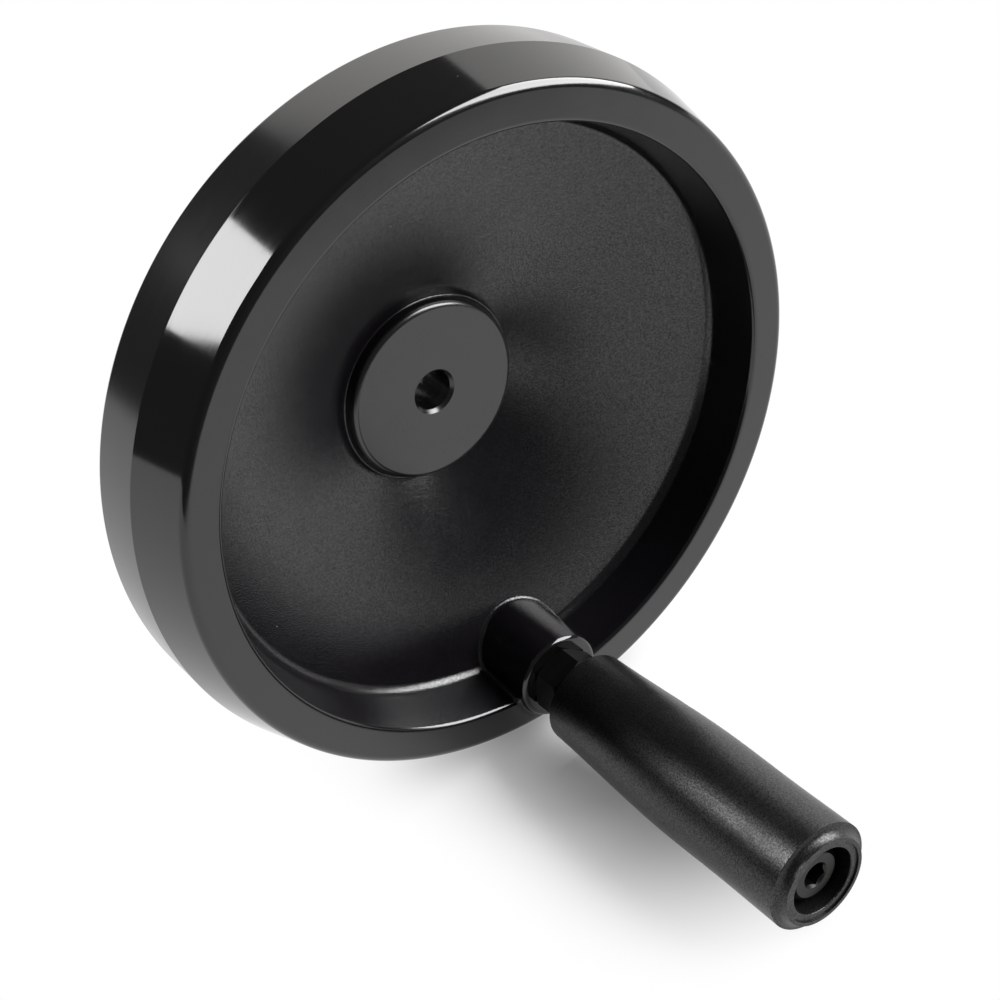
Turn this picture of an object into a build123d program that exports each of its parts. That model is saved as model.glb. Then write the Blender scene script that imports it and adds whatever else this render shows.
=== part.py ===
from build123d import *
import math
import os

# Machine handwheel: a dished solid-disc wheel with a revolving handle near its rim.
# Millimetres, +Z up. The wheel axis is Y, the front of the wheel looks along -Y and the handle
# stands out of the front, straight below the axis. The origin is the centre of the hub's rear
# face, which seats against the machine.
#
# Each piece is drawn in its own frame, where the turning axis is +Y and points to the front,
# and +X is the direction from the wheel axis to the handle.

# ---- rim ----
wheel_diameter = 160.0
rim_front_width = 13.8          # widest edge to front ring
rim_rear_width = 12.3           # widest edge to rear face
rim_front_angle = 16.0          # slope of the front band against the wheel axis, degrees
rim_ring_width = 12.15          # radial, widest edge to the inner edge of the front ring
rim_rear_ring_width = 9.8       # radial, widest edge to the inner edge of the rear face
rim_wall_height = 6.6           # front ring down to the web, inside the rim
rim_wall_draft = 10.0
rim_rear_draft = 4.0
rim_edge_break = 0.25           # on the widest edge
rim_front_corner_radius = 2.0
rim_inner_edge_radius = 0.6
rim_rear_corner_radius = 1.2

# ---- hub and web ----
hub_length = 18.0
hub_setback = 27.9              # front ring down to the front face of the hub
hub_foot_diameter = 42.5        # where the front of the hub meets the web
hub_rise = 2.9                  # front face of the hub above that foot
hub_draft = 12.0
hub_edge_radius = 1.5
hub_base_radius = 0.4           # rounding in the corner at that foot
hub_rear_diameter = 36.0
hub_rear_draft = 3.0
hub_rear_edge_radius = 1.0
bore_diameter = 9.0
bore_front_chamfer = 0.75
bore_rear_chamfer = 0.5
web_thickness = 5.0
web_front_fillet = 2.6          # web into the rim wall
web_rear_fillet = 4.0

# ---- handle boss on the wheel ----
handle_inset = 15.0             # rim's outer diameter in to the handle axis
boss_diameter = 21.8
boss_rise = 2.4                 # boss face above the front ring
boss_draft = 3.0
boss_edge_radius = 1.15
boss_fillet = 1.2               # boss into the web, the rim wall and the ring
thread_diameter = 8.0
thread_height = 0.6             # radial, core drill to thread
thread_end_room = 1.0           # thread in the boss beyond the end of the stud
thread_mouth_chamfer = 0.4
drill_point_angle = 118.0

# ---- spindle ----
stud_length = 11.0
stud_end_chamfer = 1.0
stud_relief_depth = 0.8
stud_relief_width = 1.5
collar_across_flats = 14.0
collar_length = 6.8
collar_rear_chamfer = 1.08      # radial, at the corners, on the side of the boss
collar_front_chamfer = 0.68     # radial, at the corners, on the side of the grip
collar_chamfer_angle = 30.0
collar_turn = -9.0              # a corner of the hexagon from the outward direction, degrees
journal_diameter = 12.6
spindle_end_setback = 2.5       # end of the grip back to the end of the spindle
spindle_end_chamfer = 1.1
socket_across_flats = 5.0
socket_depth = 6.0
socket_mouth_chamfer = 0.2
socket_turn = 1.0

# ---- grip ----
grip_offset = 9.6               # boss face to the rear shoulder of the grip
grip_length = 74.8
grip_start_diameter = 21.64
grip_belly_diameter = 24.92
grip_belly_reach = 39.6         # shoulder to the belly
grip_waist_diameter = 24.6
grip_waist_reach = 57.2         # shoulder to the slight waist
grip_end_diameter = 24.8
grip_start_slope = 0.03         # radius gained per length at the shoulder
grip_start_edge_radius = 0.5
grip_end_edge_radius = 2.2
spigot_wall = 1.44              # around the bore, at the collar
recess_width = 1.43             # radial, journal to the wall of the recess
recess_depth = 10.6
recess_edge_radius = 0.25
end_ring_width = 1.63           # radial, sunk ring around the mouth of the recess
end_ring_depth = 0.4
grip_edge_chamfer = 0.4

# ---- retaining ring ----
ring_thickness = 1.2
ring_width = 1.45               # radial
ring_gap_angle = 50.0
ring_groove_depth = 0.55

# ---- clearances ----
thread_clearance = 0.03         # radial
journal_clearance = 0.06        # radial, grip turning on the spindle
grip_end_play = 0.3             # each end of the grip
ring_bore_clearance = 0.05      # radial, ring in its groove
ring_side_clearance = 0.05      # each side, ring in its groove

# ---- modelling allowances ----
overcut = 1.0                   # a cut runs this far past the face that it opens
overlap = 0.5                   # stretches of one piece run this far into each other
tolerance = 0.02
largest_wall_share = 0.9        # of a wall that a rounding may take


def slope(angle):
    """Sideways reach per length of a face that leans by an angle in degrees."""
    return math.tan(math.radians(angle))


# ---- sizes that follow ----
wheel_radius = wheel_diameter / 2
hub_face = hub_length
hub_foot = hub_face - hub_rise
front_ring = hub_face + hub_setback
widest_edge = front_ring - rim_front_width
rim_rear = widest_edge - rim_rear_width
ring_outer_radius = wheel_radius - rim_front_width * slope(rim_front_angle)
ring_inner_radius = wheel_radius - rim_ring_width
wall_foot = front_ring - rim_wall_height
wall_foot_radius = ring_inner_radius - rim_wall_height * slope(rim_wall_draft)
hub_foot_radius = hub_foot_diameter / 2
web_slope = (wall_foot - hub_foot) / (wall_foot_radius - hub_foot_radius)
web_axial_thickness = web_thickness * math.hypot(1, web_slope)
handle_radius = wheel_radius - handle_inset
boss_face = front_ring + boss_rise
thread_radius = thread_diameter / 2
thread_depth = stud_length + thread_end_room

journal_radius = journal_diameter / 2
grip_shoulder = grip_offset
grip_end = grip_shoulder + grip_length
spigot_face = collar_length + grip_end_play
recess_floor = grip_end - recess_depth
spindle_end = grip_end - spindle_end_setback
groove_start = recess_floor + grip_end_play - ring_side_clearance
groove_width = ring_thickness + 2 * ring_side_clearance
groove_radius = journal_radius - ring_groove_depth
bore_radius = journal_radius + journal_clearance
recess_radius = journal_radius + recess_width
end_ring_radius = recess_radius + end_ring_width

TURNING_AXIS = Axis.Y
ACROSS = Plane((0, 0, 0), x_dir=(1, 0, 0), z_dir=(0, 1, 0))
PART_FRAME = Plane((0, 0, 0), x_dir=(0, 0, -1), z_dir=(-1, 0, 0))


def outline(points):
    return make_face(Polyline(points, close=True).edges())


def corner_at(face, point):
    return face.vertices().sort_by_distance((*point, 0))[0]


def rounded(face, point, radius):
    return fillet(corner_at(face, point), radius)


def bevelled(face, point, length):
    return chamfer(corner_at(face, point), length)


def turned(face):
    return revolve(face, TURNING_AXIS)


# ---- wheel ----
def web_front(radius):
    """Height of the web's front face above the hub's rear face."""
    return hub_foot + (radius - hub_foot_radius) * web_slope


def front_of_wheel():
    """Rim, web and hub as turned from the front, solid behind."""
    hub_top = (hub_foot_radius - hub_rise * slope(hub_draft), hub_face)
    foot = (hub_foot_radius, hub_foot)
    rim_foot = (wall_foot_radius, wall_foot)
    edge = (wheel_radius, widest_edge)
    ring_outer = (ring_outer_radius, front_ring)
    ring_inner = (ring_inner_radius, front_ring)
    bore_front = (bore_diameter / 2, hub_face)
    bore_rear = (bore_diameter / 2, 0)
    face = outline([
        bore_rear, (wheel_radius, 0), edge, ring_outer, ring_inner, rim_foot, foot, hub_top,
        bore_front,
    ])
    face = rounded(face, edge, rim_edge_break)
    face = rounded(face, ring_outer, rim_front_corner_radius)
    face = rounded(face, ring_inner, rim_inner_edge_radius)
    face = rounded(face, foot, hub_base_radius)
    face = rounded(face, rim_foot, web_front_fillet)
    face = rounded(face, hub_top, hub_edge_radius)
    face = bevelled(face, bore_front, bore_front_chamfer)
    face = bevelled(face, bore_rear, bore_rear_chamfer)
    return turned(face)


def boss():
    """Drafted round boss that carries the handle, down to well inside the web."""
    depth = boss_face - web_front(handle_radius - boss_diameter)
    root = boss_diameter / 2 + depth * slope(boss_draft)
    top = (boss_diameter / 2, boss_face)
    face = outline([(0, boss_face - depth), (root, boss_face - depth), top, (0, boss_face)])
    face = rounded(face, top, boss_edge_radius)
    return Pos(handle_radius, 0, 0) * turned(face)


def rear_hollow():
    """The space behind the rim and behind the web, from the hub outwards."""
    hub_side = slope(hub_rear_draft)
    rim_side = slope(rim_rear_draft)
    rear_at_axis = web_front(0) - web_axial_thickness
    hub_radius = hub_rear_diameter / 2
    rim_inner = wheel_radius - rim_rear_ring_width
    hub_corner_height = (rear_at_axis + web_slope * hub_radius) / (1 - web_slope * hub_side)
    rim_corner_height = (
        (rear_at_axis + web_slope * (rim_inner + rim_side * rim_rear)) / (1 + web_slope * rim_side)
    )
    hub_corner = (hub_radius + hub_corner_height * hub_side, hub_corner_height)
    rim_corner = (rim_inner - (rim_corner_height - rim_rear) * rim_side, rim_corner_height)
    inner_edge = (rim_inner, rim_rear)
    outside = wheel_radius + overcut
    face = outline([
        (hub_radius - overcut * hub_side, -overcut), hub_corner, rim_corner, inner_edge,
        (outside, rim_rear), (outside, -overcut),
    ])
    face = rounded(face, hub_corner, web_rear_fillet)
    face = rounded(face, rim_corner, web_rear_fillet)
    face = rounded(face, inner_edge, rim_rear_corner_radius)
    return turned(face)


def threaded_hole():
    """Tapped hole with a drill point, from the boss face."""
    wall = thread_radius + thread_clearance
    core = thread_radius - thread_height
    mouth = wall + thread_mouth_chamfer
    bottom = boss_face - thread_depth
    point = core / slope(drill_point_angle / 2)
    face = outline([
        (0, boss_face + overcut), (mouth, boss_face + overcut), (mouth, boss_face),
        (wall, boss_face - thread_mouth_chamfer), (wall, bottom), (core, bottom),
        (0, bottom - point),
    ])
    return Pos(handle_radius, 0, 0) * turned(face)


def circles(body, radius, height):
    """Circular edges of a body about its turning axis, at one radius and height."""
    around = body.edges().filter_by(GeomType.CIRCLE)
    around = around.filter_by(lambda edge: abs(edge.radius - radius) < tolerance)
    return around.filter_by(lambda edge: abs(edge.center().Y - height) < tolerance)


def wheel():
    """One casting, the boss run into the web, the rim wall and the front ring."""
    front = front_of_wheel()
    handle_boss = boss()
    body = front + handle_boss
    body = fillet(new_edges(front, handle_boss, combined=body), boss_fillet)
    body = body - rear_hollow() - threaded_hole()
    body = fillet(circles(body, hub_rear_diameter / 2, 0), hub_rear_edge_radius)
    return fillet(circles(body, wheel_radius, rim_rear), rim_rear_corner_radius)


# ---- handle, from the boss face ----
def on_handle_axis(piece):
    return Pos(handle_radius, boss_face, 0) * piece


def hexagon(across_flats, turn):
    return Rot(0, 0, turn) * RegularPolygon(across_flats / 2, 6, major_radius=False)


def corner_radius(across_flats):
    return across_flats / math.sqrt(3)


def stud():
    """Threaded end with a relief next to the collar."""
    relief = thread_radius - stud_relief_depth
    thread_start = -stud_relief_width - stud_relief_depth
    return turned(outline([
        (0, overlap), (relief, overlap), (relief, -stud_relief_width),
        (thread_radius, thread_start), (thread_radius, stud_end_chamfer - stud_length),
        (thread_radius - stud_end_chamfer, -stud_length), (0, -stud_length),
    ]))


def collar():
    """Hexagonal collar with both ends chamfered to a circle."""
    corner = corner_radius(collar_across_flats) + overcut
    rear_depth = (collar_rear_chamfer + overcut) * slope(collar_chamfer_angle)
    front_depth = (collar_front_chamfer + overcut) * slope(collar_chamfer_angle)
    chamfers = outline([
        (0, 0), (corner - overcut - collar_rear_chamfer, 0), (corner, rear_depth),
        (corner, collar_length - front_depth),
        (corner - overcut - collar_front_chamfer, collar_length), (0, collar_length),
    ])
    bar = extrude(ACROSS * hexagon(collar_across_flats, collar_turn), collar_length)
    return bar & turned(chamfers)


def journal():
    """Bearing length through the grip, with the ring groove and a chamfered end."""
    start = collar_length - overlap
    groove_end = groove_start + groove_width
    return turned(outline([
        (0, start), (journal_radius, start), (journal_radius, groove_start),
        (groove_radius, groove_start), (groove_radius, groove_end),
        (journal_radius, groove_end), (journal_radius, spindle_end - spindle_end_chamfer),
        (journal_radius - spindle_end_chamfer, spindle_end), (0, spindle_end),
    ]))


def socket():
    """Hexagon socket with a chamfered mouth and the point left by its drill."""
    flat = socket_across_flats / 2
    mouth = corner_radius(socket_across_flats) + socket_mouth_chamfer
    bottom = spindle_end - socket_depth
    point = flat / slope(drill_point_angle / 2)
    profile = ACROSS * Pos(0, 0, bottom) * hexagon(socket_across_flats, socket_turn)
    hexagonal = extrude(profile, socket_depth + overcut)
    mouth_cone = outline([(0, spindle_end - mouth), (mouth, spindle_end), (0, spindle_end)])
    drill_cone = outline([(0, bottom - point), (flat, bottom), (0, bottom)])
    return hexagonal + turned(mouth_cone) + turned(drill_cone)


def handle_spindle():
    return on_handle_axis(stud() + collar() + journal() - socket())


def grip():
    """Moulded sleeve: slim next to the wheel, a belly, a slight waist and a rounded end."""
    spigot = bore_radius + spigot_wall
    start = grip_start_diameter / 2
    end = grip_end_diameter / 2
    end_radius = min(grip_end_edge_radius, (end - end_ring_radius) * largest_wall_share)
    round_start = (end, grip_end - end_radius)
    round_end = (end - end_radius, grip_end)
    ring_floor = grip_end - end_ring_depth
    side = Spline(
        (start, grip_shoulder), (grip_belly_diameter / 2, grip_shoulder + grip_belly_reach),
        (grip_waist_diameter / 2, grip_shoulder + grip_waist_reach), round_start,
        tangents=[(grip_start_slope, 1), (0, 1), (0, 1), (0, 1)],
    )
    inside = Polyline(
        round_end, (end_ring_radius, grip_end), (end_ring_radius, ring_floor),
        (recess_radius, ring_floor), (recess_radius, recess_floor), (bore_radius, recess_floor),
        (bore_radius, spigot_face), (spigot, spigot_face), (spigot, grip_shoulder),
        (start, grip_shoulder),
    )
    end_rounding = RadiusArc(round_start, round_end, end_radius)
    face = make_face([side, end_rounding, *inside.edges()])
    face = rounded(face, (start, grip_shoulder), grip_start_edge_radius)
    face = rounded(face, (recess_radius, ring_floor), recess_edge_radius)
    for edge in ((bore_radius, recess_floor), (bore_radius, spigot_face), (spigot, spigot_face)):
        face = bevelled(face, edge, grip_edge_chamfer)
    return on_handle_axis(turned(face))


def retaining_ring():
    """Flat spring ring, open on one side."""
    inner = groove_radius + ring_bore_clearance
    outer = inner + ring_width
    reach = outer + overcut
    half_gap = reach * slope(ring_gap_angle / 2)
    gap = outline([(0, 0), (reach, half_gap), (reach, -half_gap)])
    profile = ACROSS * Pos(0, 0, groove_start + ring_side_clearance)
    return on_handle_axis(extrude(profile * (Circle(outer) - Circle(inner) - gap), ring_thickness))


PIECES = {
    "wheel": wheel,
    "handle_spindle": handle_spindle,
    "grip": grip,
    "retaining_ring": retaining_ring,
}


def main():
    os.makedirs("parts", exist_ok=True)
    for name, make in PIECES.items():
        piece = PART_FRAME * make()
        export_step(piece, f"parts/{name}.step")
        print(name, round(piece.volume), "mm3")


main()
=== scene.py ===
import math

import bmesh
import bpy
import numpy as np
from mathutils import Matrix, Vector
from mathutils.geometry import delaunay_2d_cdt


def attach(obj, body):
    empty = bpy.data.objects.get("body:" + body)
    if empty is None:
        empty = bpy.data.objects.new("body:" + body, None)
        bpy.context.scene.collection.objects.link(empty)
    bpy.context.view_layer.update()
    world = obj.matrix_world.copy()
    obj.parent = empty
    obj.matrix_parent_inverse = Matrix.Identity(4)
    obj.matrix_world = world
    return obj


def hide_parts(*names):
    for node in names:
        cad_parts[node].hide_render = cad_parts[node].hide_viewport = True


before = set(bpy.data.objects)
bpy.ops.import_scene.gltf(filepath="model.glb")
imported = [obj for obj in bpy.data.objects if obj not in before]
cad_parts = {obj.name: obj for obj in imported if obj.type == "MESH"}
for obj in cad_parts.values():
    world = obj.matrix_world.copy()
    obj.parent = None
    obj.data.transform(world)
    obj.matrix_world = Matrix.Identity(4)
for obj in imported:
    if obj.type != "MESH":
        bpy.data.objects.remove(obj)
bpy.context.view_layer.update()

MILLIMETRES = 1000               # in a metre

# ---- camera: metres and degrees, for a picture of 1000 by 1000 ----
CAMERA_PLACE = Vector((-0.1682, -0.3261, 0.2333))
CAMERA_HEADING = 30.168          # from +Y towards +X
CAMERA_DIP = 37.125              # below the horizon
CAMERA_ROLL = -11.017            # about the line of sight
FOCAL_LENGTH_PIXELS = 1938.6
PICTURE_WIDTH_PIXELS = 1000
SENSOR_WIDTH = 36.0              # millimetres
CLIP = (0.01, 50.0)

# ---- what the object stands on ----
RIM_EDGE = Vector((0, -0.0321, -0.0800))       # lowest point of the rim's widest edge
GRIP_END = Vector((0, -0.1305, -0.0774))       # lowest point of the end of the grip
FLOOR_REACH = 3.0                # half the table's width, and its length behind the object
FLOOR_FRONT = 0.30               # its length before the hub's rear face, in the middle
FLOOR_FRONT_TURN = 0.24          # more at its right end, and less at its left
FLOOR_GAP = 0.0001               # keeps the table clear of the object
FLOOR_COLOUR = (0.80, 0.80, 0.81)
# painted shade: the table's front gets a darker grey, standing in for the lesser light that falls
# there
FLOOR_PAINTED_SHADE_COLOUR = (0.53, 0.52, 0.51)
FLOOR_PAINTED_SHADE_START = -0.02         # y where the one colour ends and the painted shade towards the front begins
# y from which the front has all of its painted shade
FLOOR_PAINTED_SHADE_FULL = -0.20
SHADOW_REAR = -0.01              # y of the ends of the shadowed strip of the table
SHADOW_FRONT = -0.085
SHADOW_START = 0.005             # beyond this distance from it the table fades to plain white
SHADOW_END = 0.055
SHADOW_DEPTH = 0.85              # share of the shadow that a camera sees

# ---- what lights it, and what it mirrors: degrees as in direction() ----
SOFTBOX_DISTANCE = 0.9
SOFTBOX_RADIANCE = 12.0
DARK_ROOM_RADIUS = 3.2
DARK_ROOM_RADIANCE = 0.10
BACKDROP_AZIMUTHS = (105, 178)
BACKDROP_ELEVATIONS = (-14, 38)
BACKDROP_DISTANCE = 1.2
BACKDROP_COLOUR = (1, 0.99, 0.97)
BACKDROP_RADIANCE = 1.3


def direction(azimuth, elevation):
    """Unit vector away from the object; azimuth 0 is -Y, the front, and 90 is +X."""
    a, e = math.radians(azimuth), math.radians(elevation)
    return Vector((math.sin(a) * math.cos(e), -math.cos(a) * math.cos(e), math.sin(e)))


def link_object(name, data):
    obj = bpy.data.objects.new(name, data)
    bpy.context.scene.collection.objects.link(obj)
    return obj


# ---- node helpers: lengths in the finishes are millimetres ----
def new_material(name):
    material = bpy.data.materials.new(name)
    material.use_nodes = True
    material.node_tree.nodes.clear()
    return material, material.node_tree


def feed(tree, socket, value):
    """Links an output to the socket, or sets it to a plain value."""
    if isinstance(value, bpy.types.NodeSocket):
        tree.links.new(value, socket)
    else:
        socket.default_value = value


def calc(tree, operation, first, second=0.0):
    node = tree.nodes.new("ShaderNodeMath")
    node.operation = operation
    feed(tree, node.inputs[0], first)
    feed(tree, node.inputs[1], second)
    return node.outputs[0]


def times(tree, first, second):
    return calc(tree, "MULTIPLY", first, second)


def flip(tree, value):
    """1 where the value is 0, and 0 where it is 1."""
    return calc(tree, "SUBTRACT", 1.0, value)


def fade(tree, value, start, end, low=0.0, high=1.0):
    """Smooth step from low at start to high at end."""
    node = tree.nodes.new("ShaderNodeMapRange")
    node.interpolation_type = "SMOOTHSTEP"
    limits = {"From Min": start, "From Max": end, "To Min": low, "To Max": high}
    for name, number in limits.items():
        node.inputs[name].default_value = number
    feed(tree, node.inputs["Value"], value)
    return node.outputs["Result"]


def blend(tree, factor, first, second):
    """Mix of two numbers, the first where the factor is 0."""
    node = tree.nodes.new("ShaderNodeMix")
    node.data_type = "FLOAT"
    feed(tree, node.inputs["Factor"], factor)
    feed(tree, node.inputs[2], first)
    feed(tree, node.inputs[3], second)
    return node.outputs[0]


def tint(tree, factor, first, second):
    """Mix of two colours; the first may be the output of another node."""
    node = tree.nodes.new("ShaderNodeMix")
    node.data_type = "RGBA"
    feed(tree, node.inputs["Factor"], factor)
    feed(tree, node.inputs[6], first if isinstance(first, bpy.types.NodeSocket) else (*first, 1))
    feed(tree, node.inputs[7], (*second, 1))
    return node.outputs[2]


def noise(tree, vector, size, detail=2.0, roughness=0.5):
    """Noise whose grains are about size across."""
    node = tree.nodes.new("ShaderNodeTexNoise")
    node.inputs["Scale"].default_value = 1 / size
    node.inputs["Detail"].default_value = detail
    node.inputs["Roughness"].default_value = roughness
    feed(tree, node.inputs["Vector"], vector)
    return node.outputs["Fac"]


def specks(tree, vector, spacing, radius, share):
    """1 inside small round specks, one in each of this share of the cells."""
    node = tree.nodes.new("ShaderNodeTexVoronoi")
    node.inputs["Scale"].default_value = 1 / spacing
    feed(tree, node.inputs["Vector"], vector)
    edge = radius / spacing
    near = fade(tree, node.outputs["Distance"], edge, edge / 2)
    parts = tree.nodes.new("ShaderNodeSeparateColor")
    feed(tree, parts.inputs[0], node.outputs["Color"])
    chosen = calc(tree, "LESS_THAN", parts.outputs[0], share)
    return times(tree, near, chosen)


def place(tree):
    """Object coordinates in millimetres, and each of the three."""
    coordinates = tree.nodes.new("ShaderNodeTexCoord")
    scale = tree.nodes.new("ShaderNodeVectorMath")
    scale.operation = "SCALE"
    feed(tree, scale.inputs[0], coordinates.outputs["Object"])
    scale.inputs["Scale"].default_value = MILLIMETRES
    parts = tree.nodes.new("ShaderNodeSeparateXYZ")
    feed(tree, parts.inputs[0], scale.outputs[0])
    return scale.outputs[0], parts.outputs[0], parts.outputs[1], parts.outputs[2]


def hypotenuse(tree, first, second):
    squares = calc(tree, "ADD", times(tree, first, first), times(tree, second, second))
    return calc(tree, "SQRT", squares)


def distance_to_axis(tree, x, z, axis_x, axis_z):
    """Distance to a line along Y, and the angle round it."""
    dx = calc(tree, "SUBTRACT", x, axis_x)
    dz = calc(tree, "SUBTRACT", z, axis_z)
    return hypotenuse(tree, dx, dz), calc(tree, "ARCTAN2", dz, dx)


def rings(tree, angle, radius, height, size, marks):
    """Marks of turning: fine across the cut, and as few as marks in a quarter turn."""
    vector = tree.nodes.new("ShaderNodeCombineXYZ")
    feed(tree, vector.inputs[0], times(tree, calc(tree, "COSINE", angle), marks * size))
    feed(tree, vector.inputs[1], radius)
    feed(tree, vector.inputs[2], height)
    return noise(tree, vector.outputs[0], size, **TURNING_NOISE)


def bump(tree, height, distance, strength):
    node = tree.nodes.new("ShaderNodeBump")
    node.inputs["Strength"].default_value = strength
    node.inputs["Distance"].default_value = distance / MILLIMETRES
    feed(tree, node.inputs["Height"], height)
    return node.outputs[0]


def principled(tree, colour, roughness, normal, ior, metallic=0.0, shine=None):
    shader = tree.nodes.new("ShaderNodeBsdfPrincipled")
    shader.inputs["IOR"].default_value = ior
    shader.inputs["Metallic"].default_value = metallic
    feed(tree, shader.inputs["Base Color"], colour)
    feed(tree, shader.inputs["Roughness"], roughness)
    feed(tree, shader.inputs["Normal"], normal)
    if shine:
        feed(tree, shader.inputs["Specular IOR Level"], shine)
    surface(tree, shader)


def surface(tree, shader):
    output = tree.nodes.new("ShaderNodeOutputMaterial")
    tree.links.new(shader.outputs[0], output.inputs["Surface"])


# ---- camera ----
def make_camera():
    data = bpy.data.cameras.new("camera")
    data.sensor_width = SENSOR_WIDTH
    data.lens = FOCAL_LENGTH_PIXELS / PICTURE_WIDTH_PIXELS * data.sensor_width
    data.clip_start, data.clip_end = CLIP
    camera = link_object("camera", data)
    heading = Matrix.Rotation(math.radians(-CAMERA_HEADING), 4, "Z")
    dip = Matrix.Rotation(math.radians(90 - CAMERA_DIP), 4, "X")
    roll = Matrix.Rotation(math.radians(CAMERA_ROLL), 4, "Z")
    camera.matrix_world = Matrix.Translation(CAMERA_PLACE) @ heading @ dip @ roll
    bpy.context.scene.camera = camera


# ---- studio ----
def emission(name, colour, strength):
    material, tree = new_material(name)
    shader = tree.nodes.new("ShaderNodeEmission")
    shader.inputs["Color"].default_value = (*colour, 1)
    shader.inputs["Strength"].default_value = strength
    surface(tree, shader)
    return material


def quad(name, corners, material):
    mesh = bpy.data.meshes.new(name)
    mesh.from_pydata([tuple(c) for c in corners], [], [(0, 1, 2, 3)])
    obj = link_object(name, mesh)
    mesh.materials.append(material)
    return obj


def floor_height(y):
    """The table touches the rim and the end of the grip."""
    slope = (GRIP_END.z - RIM_EDGE.z) / (RIM_EDGE.y - GRIP_END.y)
    return RIM_EDGE.z + slope * (RIM_EDGE.y - y)


def floor_material():
    """Pale table with painted shade at its front; plain white where seen or mirrored away from
    the object's shadow.
    """
    material, tree = new_material("floor")
    diffuse = tree.nodes.new("ShaderNodeBsdfDiffuse")
    white = tree.nodes.new("ShaderNodeEmission")
    geometry = tree.nodes.new("ShaderNodeNewGeometry")
    parts = tree.nodes.new("ShaderNodeSeparateXYZ")
    feed(tree, parts.inputs[0], geometry.outputs["Position"])
    x, y = parts.outputs[0], parts.outputs[1]
    # painted shade: the table's colour darkens towards the front
    in_front = fade(tree, y, FLOOR_PAINTED_SHADE_START, FLOOR_PAINTED_SHADE_FULL)
    feed(tree, diffuse.inputs["Color"], tint(tree, in_front, FLOOR_COLOUR, FLOOR_PAINTED_SHADE_COLOUR))
    behind = calc(tree, "MAXIMUM", calc(tree, "SUBTRACT", y, SHADOW_REAR), 0.0)
    before = calc(tree, "MAXIMUM", calc(tree, "SUBTRACT", SHADOW_FRONT, y), 0.0)
    distance = hypotenuse(tree, calc(tree, "ADD", behind, before), x)
    away = fade(tree, distance, SHADOW_START, SHADOW_END, 1 - SHADOW_DEPTH, 1)
    rays = tree.nodes.new("ShaderNodeLightPath")
    seen = calc(tree, "ADD", rays.outputs["Is Camera Ray"], rays.outputs["Is Glossy Ray"])
    seen = calc(tree, "ADD", seen, rays.outputs["Is Transmission Ray"])
    mix = tree.nodes.new("ShaderNodeMixShader")
    feed(tree, mix.inputs[0], times(tree, away, seen))
    feed(tree, mix.inputs[1], diffuse.outputs[0])
    feed(tree, mix.inputs[2], white.outputs[0])
    surface(tree, mix)
    return material


def make_floor():
    corners = []
    for side, front in ((-1, True), (1, True), (1, False), (-1, False)):
        edge = -FLOOR_FRONT - FLOOR_FRONT_TURN * side
        y = edge if front else FLOOR_REACH
        corners.append((side * FLOOR_REACH, y, floor_height(y) - FLOOR_GAP))
    quad("floor", corners, floor_material())


def softbox(name, azimuth, elevation, width, height, roll):
    data = bpy.data.lights.new(name, "AREA")
    data.shape = "RECTANGLE"
    data.size = width
    data.size_y = height
    data.energy = SOFTBOX_RADIANCE * math.pi * width * height
    lamp = link_object(name, data)
    out = direction(azimuth, elevation)
    lamp.matrix_world = (
        Matrix.Translation(out * SOFTBOX_DISTANCE)
        @ out.to_track_quat("Z", "Y").to_matrix().to_4x4()
        @ Matrix.Rotation(math.radians(roll), 4, "Z")
    )


def make_lamps():
    softbox("right_softbox", azimuth=63, elevation=32, width=0.97, height=0.62, roll=8)
    softbox("left_softbox", azimuth=-127, elevation=43.8, width=0.45, height=0.40, roll=-3)


def make_dark_room():
    """Dark surroundings of the studio, seen only in reflections."""
    material = emission("dark_room", (1, 1, 1), DARK_ROOM_RADIANCE)
    bpy.ops.mesh.primitive_uv_sphere_add(segments=48, ring_count=24, radius=DARK_ROOM_RADIUS)
    room = bpy.context.object
    room.name = "dark_room"
    room.data.materials.append(material)
    room.visible_camera = False


def make_backdrop():
    """White paper behind the object, to the right, seen only in reflections."""
    material = emission("backdrop", BACKDROP_COLOUR, BACKDROP_RADIANCE)
    right, left = BACKDROP_AZIMUTHS
    low, high = BACKDROP_ELEVATIONS
    corners = []
    for azimuth, elevation in ((right, low), (left, low), (left, high), (right, high)):
        up = BACKDROP_DISTANCE * math.tan(math.radians(elevation))
        corners.append(direction(azimuth, 0) * BACKDROP_DISTANCE + Vector((0, 0, up)))
    backdrop = quad("backdrop", corners, material)
    backdrop.visible_camera = False


def make_world():
    world = bpy.data.worlds.new("world")
    bpy.context.scene.world = world
    world.use_nodes = True
    background = world.node_tree.nodes["Background"]
    background.inputs["Color"].default_value = (1, 1, 1, 1)
    background.inputs["Strength"].default_value = 1.0


# ---- wheel as seen: millimetres of radius and of height above the hub's rear face, degrees ----
WHEEL_RADIUS = 80.0
WIDEST_EDGE = 32.1               # height of the edge between the rim's two bands
WIDEST_EDGE_ROUNDING = 0.25
RIM_REAR = 18.4
REAR_ROUNDING = 1.2
FRONT_BAND_SLOPE = 16.0
FRONT_BAND_SPLIT = 8.0           # depth below the ring of one more row of points on the band
RING_FACE = 45.9
RING_OUTER = 76.043
RING_OUTER_ROUNDING = 2.0
RING_INNER = 67.85
RING_INNER_ROUNDING = 1.1
REAR_RING_INNER = 70.2
REAR_DRAFT = 4.0
WALL_FOOT = (65.611, 33.2)
WALL_FILLET = 3.0
HUB_FACE = 18.0
HUB_TOP = 20.634
HUB_ROUNDING = 1.5
HUB_FOOT = (21.25, 15.1)
HUB_FOOT_FILLET = 0.4
HUB_REAR_RADIUS = 18.0
HUB_REAR_DRAFT = 3.0
HUB_REAR_HEIGHT = 6.0            # over which the draft is reckoned
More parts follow.
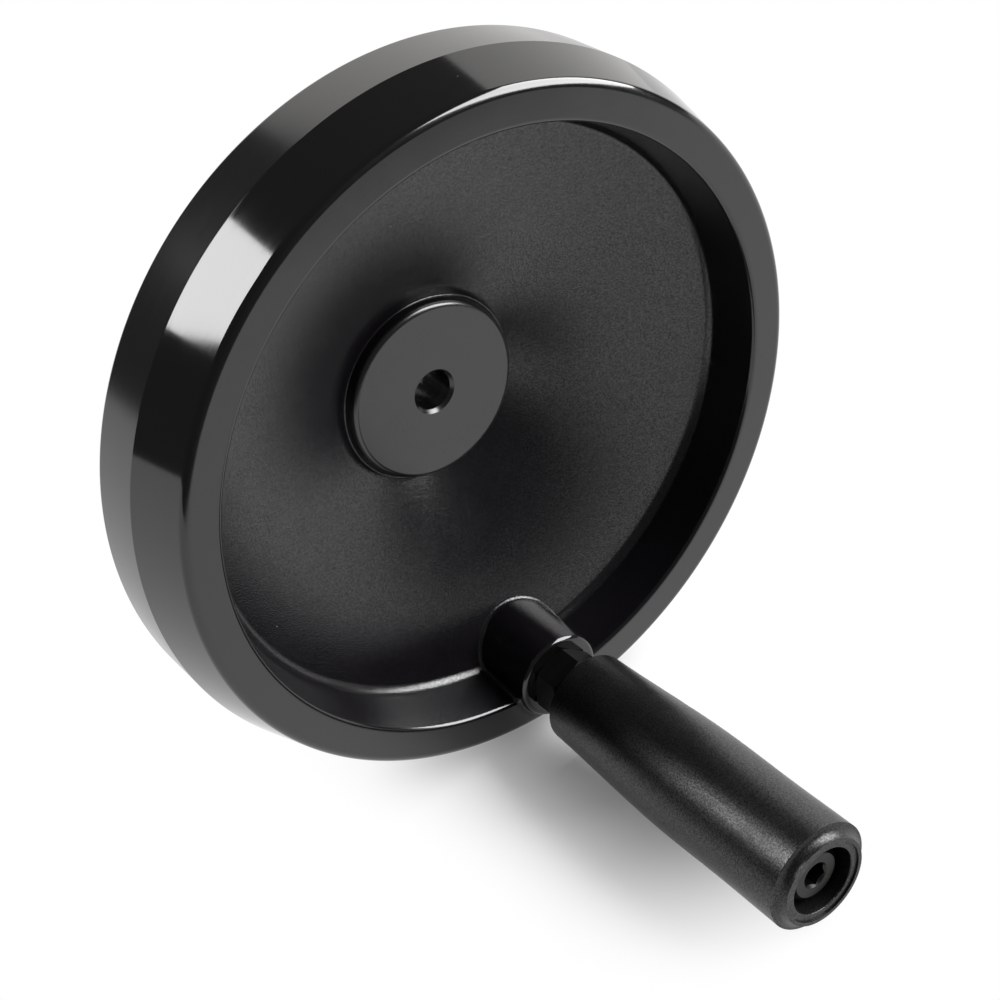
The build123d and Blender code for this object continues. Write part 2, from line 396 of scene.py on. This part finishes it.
HUB_REAR_ROUNDING = 1.0
REAR_FILLET = 4.0                # at the foot of the hub and of the rim, behind the web
REAR_DEPTH = 10.0                # of the hollow behind at the rim, a first guess
BORE = 4.5
BORE_REAR_CHAMFER = 0.5
BORE_FRONT_CHAMFER = 0.75
WEB_BOW = 0.8
WEB_THICKNESS = 5.0
WEB_STEP = 1.5
WEB_FRONT_MARGIN = 4.5           # room left for the fillet at the rim
WEB_REAR_MARGINS = (5.5, 6.0)    # and, behind, for those at the rim and at the hub
HANDLE_RADIUS = 65.0
BOSS_RADIUS = 10.2
BOSS_DRAFT = 1.0
BOSS_FACE = 48.3
BOSS_FILLET = 1.2
BOSS_EDGE = 1.15
BOSS_SIDE = 10.0                 # height of the boss's side below its face
BOSS_SEARCH_REACH = 16.0         # outside the boss, where the search for its foot starts
BOSS_SEARCH_STEP = 0.1
BOSS_SEARCH_HALVINGS = 30
THREAD_RADIUS = 4.03
THREAD_DEPTH = 12.0
THREAD_CHAMFER = 0.4
DRILL_RADIUS = THREAD_RADIUS - 0.6
DRILL_POINT = 0.6                # height of the drill's cone per radius
DRILL_TIP = 0.05
BREAK = 0.06                     # rounding of corners that look sharp
ARC_STEP = 9.0                   # degrees
TURN_SEGMENTS = 360
SECTOR = 17                      # segments each side of the handle that go round the boss
SECTOR_INNER = 47.0              # radius where the part of the profile that does so starts
SECTOR_OUTER = RING_OUTER + 1.0  # it ends on the front band, beyond this radius
SECTOR_LOWEST = RING_FACE - 7.0  # and below this height
SECTOR_MARGIN = 0.05             # triangles up to this far past its start are left out
BOSS_SEGMENTS = 192
FILLET_STEPS = 7
FOOT_CLEARANCE = 0.25            # of the turned rings' points from the foot of the boss
JOIN_TOLERANCE = 1e-6
SMALLEST_TRIANGLE = 1e-4         # twice its area; thinner ones would show as fins


def left_of(d):
    return np.array((-d[1], d[0]))


def slant(degrees):
    """Sideways per length at this angle."""
    return math.tan(math.radians(degrees))


def rounded_path(corners):
    """Points and outward normals of a closed profile of (radius, height, rounding) corners.

    A rounding of None keeps the point as one of a smooth curve."""
    points, normals = [], []
    count = len(corners)
    for i, (r, h, rounding) in enumerate(corners):
        before = np.array(corners[i - 1][:2])
        after = np.array(corners[(i + 1) % count][:2])
        here = np.array((r, h))
        u = (here - before) / np.linalg.norm(here - before)
        v = (after - here) / np.linalg.norm(after - here)
        if rounding is None:
            points.append(here)
            normals.append(left_of((u + v) / np.linalg.norm(u + v)))
            continue
        turn = math.atan2(u[0] * v[1] - u[1] * v[0], u @ v)
        side = math.copysign(rounding, turn)
        centre = here - u * rounding * math.tan(abs(turn) / 2) + side * left_of(u)
        steps = max(2, round(abs(turn) / math.radians(ARC_STEP))) if rounding > BREAK else 2
        for k in range(steps + 1):
            cos, sin = math.cos(turn * k / steps), math.sin(turn * k / steps)
            d = np.array((u[0] * cos - u[1] * sin, u[0] * sin + u[1] * cos))
            points.append(centre - side * left_of(d))
            normals.append(left_of(d))
    return np.array(points), np.array(normals)


def web_circle():
    """Centre and radius of the web's front in its section."""
    foot, hub = np.array(WALL_FOOT), np.array(HUB_FOOT)
    chord = np.linalg.norm(foot - hub)
    radius = (chord ** 2 / 4 + WEB_BOW ** 2) / (2 * WEB_BOW)
    d = (foot - hub) / chord
    return (foot + hub) / 2 - (radius - WEB_BOW) * left_of(d), radius


def web_height(radius, centre, curve_radius):
    return centre[1] + math.sqrt(curve_radius ** 2 - (radius - centre[0]) ** 2)


def web_curve(start, end, step, centre, curve_radius):
    return [(r, web_height(r, centre, curve_radius), None) for r in np.arange(start, end, step)]


def wheel_profile():
    """Points and normals of the wheel's half section, from the bore's rear edge on."""
    centre, front = web_circle()
    rear = front - WEB_THICKNESS
    rim_margin, hub_margin = WEB_REAR_MARGINS
    rim_height = web_height(REAR_RING_INNER - REAR_DEPTH * slant(REAR_DRAFT), centre, rear)
    rim_corner = REAR_RING_INNER - (rim_height - RIM_REAR) * slant(REAR_DRAFT)
    hub_corner = HUB_REAR_RADIUS + HUB_REAR_HEIGHT * slant(HUB_REAR_DRAFT)
    front_end = WALL_FOOT[0] - WEB_FRONT_MARGIN
    band_split = RING_OUTER + FRONT_BAND_SPLIT * slant(FRONT_BAND_SLOPE)
    return rounded_path([
        (BORE + BORE_REAR_CHAMFER, 0, BREAK),
        (BORE, BORE_REAR_CHAMFER, BREAK),
        (BORE, HUB_FACE - BORE_FRONT_CHAMFER, BREAK),
        (BORE + BORE_FRONT_CHAMFER, HUB_FACE, BREAK),
        (HUB_TOP, HUB_FACE, HUB_ROUNDING),
        (*HUB_FOOT, HUB_FOOT_FILLET),
        *web_curve(HUB_FOOT[0] + WEB_STEP, front_end, WEB_STEP, centre, front),
        (*WALL_FOOT, WALL_FILLET),
        (RING_INNER, RING_FACE, RING_INNER_ROUNDING),
        (RING_OUTER, RING_FACE, RING_OUTER_ROUNDING),
        (band_split, RING_FACE - FRONT_BAND_SPLIT, None),
        (WHEEL_RADIUS, WIDEST_EDGE, WIDEST_EDGE_ROUNDING),
        (WHEEL_RADIUS, RIM_REAR, REAR_ROUNDING),
        (REAR_RING_INNER, RIM_REAR, REAR_ROUNDING),
        (rim_corner, rim_height, REAR_FILLET),
        *web_curve(rim_corner - rim_margin, hub_corner + hub_margin, -WEB_STEP, centre, rear),
        (hub_corner, web_height(hub_corner, centre, rear), REAR_FILLET),
        (HUB_REAR_RADIUS, 0, HUB_REAR_ROUNDING),
    ])


def around(radius, height, angle):
    """Point or normal at this angle from the handle's direction."""
    return np.array((radius * math.sin(angle), -height, -radius * math.cos(angle)))


class WheelMesh:
    """Points with their own normals, and faces between them."""

    def __init__(self):
        self.points, self.normals, self.faces = [], [], []

    def add(self, point, normal):
        self.points.append(point)
        self.normals.append(normal)
        return len(self.points) - 1

    def strip(self, first, second):
        """Faces between two closed rows of points."""
        count = len(first)
        for k in range(count):
            n = (k + 1) % count
            self.faces.append((first[k], first[n], second[n], second[k]))

    def build(self, name):
        points, normals = np.array(self.points), np.array(self.normals)
        faces = []
        for face in self.faces:
            corners = points[list(face)]
            across = np.cross(corners[1] - corners[0], corners[2] - corners[0])
            across = across + np.cross(corners[2] - corners[0], corners[-1] - corners[0])
            faces.append(face if across @ normals[list(face)].sum(0) > 0 else face[::-1])
        mesh = bpy.data.meshes.new(name)
        mesh.from_pydata((points / MILLIMETRES).tolist(), [], faces)
        work = bmesh.new()
        work.from_mesh(mesh)
        bmesh.ops.recalc_face_normals(work, faces=work.faces)
        work.to_mesh(mesh)
        work.free()
        mesh.polygons.foreach_set("use_smooth", [True] * len(mesh.polygons))
        mesh.normals_split_custom_set_from_vertices(normals.tolist())
        return link_object(name, mesh)


def boss_foot(path, normals, first, last):
    """Where a ball rolling round the boss touches the wheel, and the ball's centres."""
    radii, heights = path[first:last + 1, 0], path[first:last + 1, 1]
    across, up = normals[first:last + 1, 0], normals[first:last + 1, 1]
    draft = math.radians(BOSS_DRAFT)

    def touch(azimuth, reach):
        x, z = reach * math.sin(azimuth), -HANDLE_RADIUS - reach * math.cos(azimuth)
        r = math.hypot(x, z)
        out = np.interp(r, radii, across)
        n = np.array((out * x / r, -np.interp(r, radii, up), out * z / r))
        n /= np.linalg.norm(n)
        point = np.array((x, -np.interp(r, radii, heights), z))
        centre = point + BOSS_FILLET * n
        below = BOSS_FACE + centre[1]
        side = BOSS_RADIUS + below * math.tan(draft) + BOSS_FILLET / math.cos(draft)
        return math.hypot(centre[0], centre[2] + HANDLE_RADIUS) - side, point, n, centre

    result = []
    for k in range(BOSS_SEGMENTS):
        azimuth = 2 * math.pi * k / BOSS_SEGMENTS
        near = BOSS_SEARCH_REACH
        while touch(azimuth, near)[0] > 0:
            near -= BOSS_SEARCH_STEP
        far = near + BOSS_SEARCH_STEP
        for _ in range(BOSS_SEARCH_HALVINGS):
            middle = (near + far) / 2
            if touch(azimuth, middle)[0] > 0:
                far = middle
            else:
                near = middle
        result.append(touch(azimuth, far)[1:])
    return result


def add_boss(mesh, foot):
    """Fillet, drafted side, rounded edge, face and threaded hole, from the foot's points up."""
    draft = math.radians(BOSS_DRAFT)
    handle = np.array((0, 0, -HANDLE_RADIUS))
    fillet = [[] for _ in range(FILLET_STEPS)]
    loop, azimuths = [], []
    for point, normal, centre in foot:
        loop.append(mesh.add(point, normal))
        azimuth = math.atan2(centre[0], -(centre[2] + HANDLE_RADIUS))
        azimuths.append(azimuth)
        out = around(math.cos(draft), math.sin(draft), azimuth)
        turn = math.acos(min(1, max(-1, normal @ out)))
        for k in range(1, FILLET_STEPS + 1):
            a = turn * k / FILLET_STEPS
            n = (math.sin(turn - a) * normal + math.sin(a) * out) / math.sin(turn)
            fillet[k - 1].append(mesh.add(centre - BOSS_FILLET * n, n))
    rows = [loop, *fillet]
    floor = BOSS_FACE - THREAD_DEPTH
    path, normals = rounded_path([
        (DRILL_TIP, floor - DRILL_RADIUS * DRILL_POINT, BREAK / 4),
        (DRILL_RADIUS, floor, BREAK),
        (THREAD_RADIUS, floor, BREAK),
        (THREAD_RADIUS, BOSS_FACE - THREAD_CHAMFER, BREAK),
        (THREAD_RADIUS + THREAD_CHAMFER, BOSS_FACE, BREAK),
        (BOSS_RADIUS, BOSS_FACE, BOSS_EDGE),
        (BOSS_RADIUS + BOSS_SIDE * math.tan(draft), BOSS_FACE - BOSS_SIDE, None),
    ])
    # the last point only gives the side its direction: the fillet's last row is the side's foot
    for (r, h), (across, up) in zip(path[-2::-1], normals[-2::-1]):
        rows.append([mesh.add(around(r, h, a) + handle, around(across, up, a)) for a in azimuths])
    for first, second in zip(rows, rows[1:]):
        mesh.strip(first, second)
    mesh.faces.append(tuple(rows[-1]))
    return loop


def join_boss(mesh, grid, path, first, last, foot, loop):
    """Triangles between the turned rings and the foot of the boss, laid out along the profile."""
    lengths = np.linalg.norm(np.diff(path[first:last + 1], axis=0), axis=1)
    along = np.concatenate(([0], np.cumsum(lengths))) + path[first, 0]
    radii = path[first:last + 1, 0]
    step = 2 * math.pi / TURN_SEGMENTS
    azimuths = [2 * math.pi * k / BOSS_SEGMENTS for k in range(BOSS_SEGMENTS + 1)]
    reaches = [math.hypot(p[0], p[2] + HANDLE_RADIUS) for p, _, _ in foot]
    reaches.append(reaches[0])
    flat, index, place_of = [], [], {}

    def put(s, angle, vertex):
        flat.append(Vector((s * math.sin(angle), s * math.cos(angle))))
        index.append(vertex)
        return len(flat) - 1

    for i in range(first, last + 1):
        for j in range(-SECTOR, SECTOR + 1):
            x, _, z = around(path[i, 0], 0, j * step)
            azimuth = math.atan2(x, -(z + HANDLE_RADIUS)) % (2 * math.pi)
            reach = math.hypot(x, z + HANDLE_RADIUS)
            edge = i in (first, last) or abs(j) == SECTOR
            if edge or reach > np.interp(azimuth, azimuths, reaches) + FOOT_CLEARANCE:
                place_of[i, j] = put(along[i - first], j * step, grid(i, j))
    start = len(flat)
    for (point, _, _), vertex in zip(foot, loop):
        r = math.hypot(point[0], point[2])
        put(np.interp(r, radii, along), math.atan2(point[0], -point[2]), vertex)
    edges = [(start + k, start + (k + 1) % BOSS_SEGMENTS) for k in range(BOSS_SEGMENTS)]
    for i in range(first, last):
        edges += [(place_of[i, j], place_of[i + 1, j]) for j in (-SECTOR, SECTOR)]
    for j in range(-SECTOR, SECTOR):
        edges += [(place_of[i, j], place_of[i, j + 1]) for i in (first, last)]
    _, _, faces, originals, _, _ = delaunay_2d_cdt(flat, edges, [], 0, JOIN_TOLERANCE)
    ring = [flat[start + k] for k in range(BOSS_SEGMENTS)]
    for face in faces:
        corners = [originals[v][0] for v in face]
        a, b, c = (flat[v] for v in corners)
        middle = (Vector((0, 0)) + a + b + c) / 3
        under_boss = all(v >= start for v in corners) and inside(ring, middle)
        off_sector = middle.length < along[0] + SECTOR_MARGIN
        thin = abs((b - a).cross(c - a)) < SMALLEST_TRIANGLE
        if not (under_boss or off_sector or thin):
            mesh.faces.append(tuple(index[v] for v in corners))


def inside(ring, point):
    """Whether a flat point lies in a closed row of points."""
    hit = False
    for a, b in zip(ring, ring[1:] + ring[:1]):
        if (a.y > point.y) != (b.y > point.y):
            if point.x < (b.x - a.x) * (point.y - a.y) / (b.y - a.y) + a.x:
                hit = not hit
    return hit


def make_wheel():
    """Turned rings all round, but for the sector that holds the boss, which is joined in."""
    path, normals = wheel_profile()
    mesh = WheelMesh()
    step = 2 * math.pi / TURN_SEGMENTS
    count = len(path)
    first = int(np.argmax(path[:, 0] > SECTOR_INNER))
    last = int(np.argmax((path[:, 0] > SECTOR_OUTER) & (path[:, 1] < SECTOR_LOWEST)))
    used = {}

    def grid(i, j):
        key = (i % count, j % TURN_SEGMENTS)
        if key not in used:
            (r, h), (across, up) = path[key[0]], normals[key[0]]
            used[key] = mesh.add(around(r, h, j * step), around(across, up, j * step))
        return used[key]

    for i in range(count):
        for j in range(TURN_SEGMENTS):
            signed = j if j < TURN_SEGMENTS / 2 else j - TURN_SEGMENTS
            if first <= i < last and -SECTOR <= signed < SECTOR:
                continue
            mesh.faces.append((grid(i, j), grid(i, j + 1), grid(i + 1, j + 1), grid(i + 1, j)))
    foot = boss_foot(path, normals, first, last)
    loop = add_boss(mesh, foot)
    join_boss(mesh, grid, path, first, last, foot, loop)
    wheel = mesh.build("handwheel_casting")
    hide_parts("wheel")
    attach(wheel, "wheel")
    return wheel


# ---- finishes: pairs are the values at the low and the high end of a noise or of an edge, and
# sizes and distances are millimetres ----
NOISE_SPAN = (0.3, 0.7)
DOT_SPAN = (0.32, 0.70)
DOTS = {"size": 0.36, "detail": 1.0, "roughness": 0.6}
TURNING_NOISE = {"detail": 3.0, "roughness": 0.6}

HUB_RADIUS = 20.9                # on the hub's side, between its top and its foot
HUB_EDGE = (HUB_RADIUS - 0.6, HUB_RADIUS)
HUB_FRONT = (14.0, 15.0)
HANDLE_PLACE = (0.0, -HANDLE_RADIUS)
CAST_EDGE = (RING_INNER + 0.5, RING_INNER - 0.3)
CAST_TOP = (RING_FACE - 0.1, RING_FACE - 0.9)
BOSS_SURROUND = (12.2, 11.0)
BOSS_TOP = (47.9, 47.3)
RING_EDGE = (RING_INNER - 0.5, RING_INNER + 0.3)
RING_TOP = (RING_FACE - 0.6, RING_FACE - 0.1)
REAR_BAND_EDGE = (WIDEST_EDGE, WIDEST_EDGE - 0.4)

COAT_IOR = 1.6
COAT_COLOUR = (0.0030, 0.0030, 0.0031)
CAST_COLOUR = (0.0036, 0.0030, 0.0040)
DUST_COLOUR = (0.25, 0.25, 0.25)
DUST = {"spacing": 7.0, "radius": 0.16, "share": 0.10}
FRONT_BAND_ROUGHNESS = 0.08
REAR_BAND_ROUGHNESS = 0.17
RING_ROUGHNESS = (0.17, 0.21)
HUB_ROUGHNESS = (0.23, 0.27)
CAST_ROUGHNESS = (0.17, 0.21)
TURNING_ROUGHNESS = (-0.012, 0.012)
BAND_SHINE = 0.5
RING_SHINE = 0.60
HUB_SHINE = 0.66
CAST_SHINE = (0.27, 0.62)
CAST_GRAIN = {"size": 0.30, "roughness": 0.6}
COAT_CLOUDS = {"size": 9.0, "detail": 3.0, "roughness": 0.55}
COAT_TURNING = {"size": 0.35, "marks": 3.0}
TURNING_HEIGHT = 0.004           # as a share of the grain's
COAT_RELIEF = {"distance": 0.045, "strength": 0.8}

GRIP_IOR = 1.5
GRIP_COLOURS = ((0.0030, 0.0030, 0.0032), (0.0055, 0.0053, 0.0055))
GRIP_ROUGHNESS = (0.33, 0.37)
GRIP_SHINE = (0.26, 0.70)
GRIP_GRAIN = {"size": 0.34, "roughness": 0.6}
GRIP_CLOUDS = {"size": 7.0, "detail": 3.0, "roughness": 0.6}
GRIP_RELIEF = {"distance": 0.05, "strength": 0.7}
DRAG_MARKS = {"size": 0.5, "roughness": 0.6}
DRAG_STRETCH = (1.0, 0.05, 1.0)  # long along the grip
DRAG_SPAN = (0.35, 0.75)
DRAG_ROUGHNESS = (-0.01, 0.02)

SPINDLE_IOR = 2.2
SPINDLE_METAL = 0.85
SPINDLE_COLOURS = ((0.006, 0.006, 0.006), (0.026, 0.023, 0.021))
SPINDLE_ROUGHNESS = (0.30, 0.42)
SPINDLE_STAINS = {"size": 2.2, "detail": 3.0, "roughness": 0.6}
SPINDLE_TURNING = {"size": 0.12, "marks": 2.0}
STEEL_RELIEF = {"distance": 0.02, "strength": 0.5}

RING_STEEL_IOR = 1.8
RING_STEEL_METAL = 0.9
RING_STEEL_COLOURS = ((0.07, 0.065, 0.06), (0.14, 0.13, 0.12))
RING_STEEL_ROUGHNESS = (0.32, 0.46)
RING_STEEL_STAINS = {"size": 1.1, "detail": 3.0, "roughness": 0.6}
RING_STEEL_GRAIN = {"size": 0.12}


def cast_zone(tree, x, z, radius, height):
    """1 on the grained surfaces: web, rim wall and boss, and the hollow behind."""
    in_ring = fade(tree, radius, *CAST_EDGE)
    below = fade(tree, height, *CAST_TOP)
    off_hub = fade(tree, radius, *HUB_EDGE)
    on_hub = times(tree, flip(tree, off_hub), fade(tree, height, *HUB_FRONT))
    in_front = times(tree, times(tree, in_ring, below), flip(tree, on_hub))
    handle_distance, _ = distance_to_axis(tree, x, z, *HANDLE_PLACE)
    on_boss = times(
        tree, fade(tree, handle_distance, *BOSS_SURROUND), fade(tree, height, *BOSS_TOP))
    return calc(tree, "MAXIMUM", in_front, on_boss)


def wheel_finish():
    """Black coat: grained in the casting's hollows, smooth where the wheel was turned."""
    material, tree = new_material("wheel_coat")
    position, x, y, z = place(tree)
    height = times(tree, y, -1.0)
    radius, angle = distance_to_axis(tree, x, z, 0.0, 0.0)
    cast = cast_zone(tree, x, z, radius, height)
    ring_zone = times(tree, fade(tree, height, *RING_TOP), fade(tree, radius, *RING_EDGE))
    rear_zone = fade(tree, height, *REAR_BAND_EDGE)
    hub_zone = fade(tree, radius, *HUB_EDGE[::-1])
    clouds = noise(tree, position, **COAT_CLOUDS)
    turning = rings(tree, angle, radius, height, **COAT_TURNING)

    smooth = blend(tree, rear_zone, FRONT_BAND_ROUGHNESS, REAR_BAND_ROUGHNESS)
    smooth = blend(tree, ring_zone, smooth, fade(tree, clouds, *NOISE_SPAN, *RING_ROUGHNESS))
    smooth = blend(tree, hub_zone, smooth, fade(tree, clouds, *NOISE_SPAN, *HUB_ROUGHNESS))
    smooth = calc(tree, "ADD", smooth, fade(tree, turning, *NOISE_SPAN, *TURNING_ROUGHNESS))
    rough = fade(tree, clouds, *NOISE_SPAN, *CAST_ROUGHNESS)
    roughness = blend(tree, cast, smooth, rough)

    dots = noise(tree, position, **DOTS)
    shine = blend(tree, ring_zone, BAND_SHINE, RING_SHINE)
    shine = blend(tree, hub_zone, shine, HUB_SHINE)
    shine = blend(tree, cast, shine, fade(tree, dots, *DOT_SPAN, *CAST_SHINE))

    colour = tint(tree, cast, COAT_COLOUR, CAST_COLOUR)
    colour = tint(tree, specks(tree, position, **DUST), colour, DUST_COLOUR)
    grain = noise(tree, position, **CAST_GRAIN)
    relief = blend(tree, cast, times(tree, turning, TURNING_HEIGHT), grain)
    normal = bump(tree, relief, **COAT_RELIEF)
    principled(tree, colour, roughness, normal, COAT_IOR, shine=shine)
    return material


def grip_finish():
    """Moulded black plastic with a fine even grain and faint drag marks along it."""
    material, tree = new_material("grip_plastic")
    position = place(tree)[0]
    clouds = noise(tree, position, **GRIP_CLOUDS)
    stretched = tree.nodes.new("ShaderNodeVectorMath")
    stretched.operation = "MULTIPLY"
    feed(tree, stretched.inputs[0], position)
    stretched.inputs[1].default_value = DRAG_STRETCH
    marks = noise(tree, stretched.outputs[0], **DRAG_MARKS)
    roughness = calc(
        tree, "ADD", fade(tree, clouds, *NOISE_SPAN, *GRIP_ROUGHNESS),
        fade(tree, marks, *DRAG_SPAN, *DRAG_ROUGHNESS))
    dots = noise(tree, position, **DOTS)
    shine = fade(tree, dots, *DOT_SPAN, *GRIP_SHINE)
    grain = noise(tree, position, **GRIP_GRAIN)
    normal = bump(tree, grain, **GRIP_RELIEF)
    colour = tint(tree, clouds, *GRIP_COLOURS)
    principled(tree, colour, roughness, normal, GRIP_IOR, shine=shine)
    return material


def spindle_finish():
    """Blackened turned steel, worn lighter in places."""
    material, tree = new_material("black_steel")
    position, x, y, z = place(tree)
    radius, angle = distance_to_axis(tree, x, z, *HANDLE_PLACE)
    marks = rings(tree, angle, radius, y, **SPINDLE_TURNING)
    stains = noise(tree, position, **SPINDLE_STAINS)
    colour = tint(tree, stains, *SPINDLE_COLOURS)
    roughness = fade(tree, marks, *NOISE_SPAN, *SPINDLE_ROUGHNESS)
    normal = bump(tree, marks, **STEEL_RELIEF)
    principled(tree, colour, roughness, normal, SPINDLE_IOR, SPINDLE_METAL)
    return material


def ring_finish():
    """Stamped spring steel, phosphated."""
    material, tree = new_material("ring_steel")
    position = place(tree)[0]
    stains = noise(tree, position, **RING_STEEL_STAINS)
    grain = noise(tree, position, **RING_STEEL_GRAIN)
    colour = tint(tree, stains, *RING_STEEL_COLOURS)
    roughness = fade(tree, grain, *NOISE_SPAN, *RING_STEEL_ROUGHNESS)
    normal = bump(tree, grain, **STEEL_RELIEF)
    principled(tree, colour, roughness, normal, RING_STEEL_IOR, RING_STEEL_METAL)
    return material


def finish_node(node, material):
    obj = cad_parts[node]
    obj.data.materials.clear()
    obj.data.materials.append(material)


make_camera()
make_world()
make_floor()
make_dark_room()
make_backdrop()
make_lamps()

wheel = make_wheel()
wheel.data.materials.append(wheel_finish())
finish_node("grip", grip_finish())
finish_node("handle_spindle", spindle_finish())
finish_node("retaining_ring", ring_finish())

settings = bpy.context.scene.view_settings
settings.view_transform = "Standard"
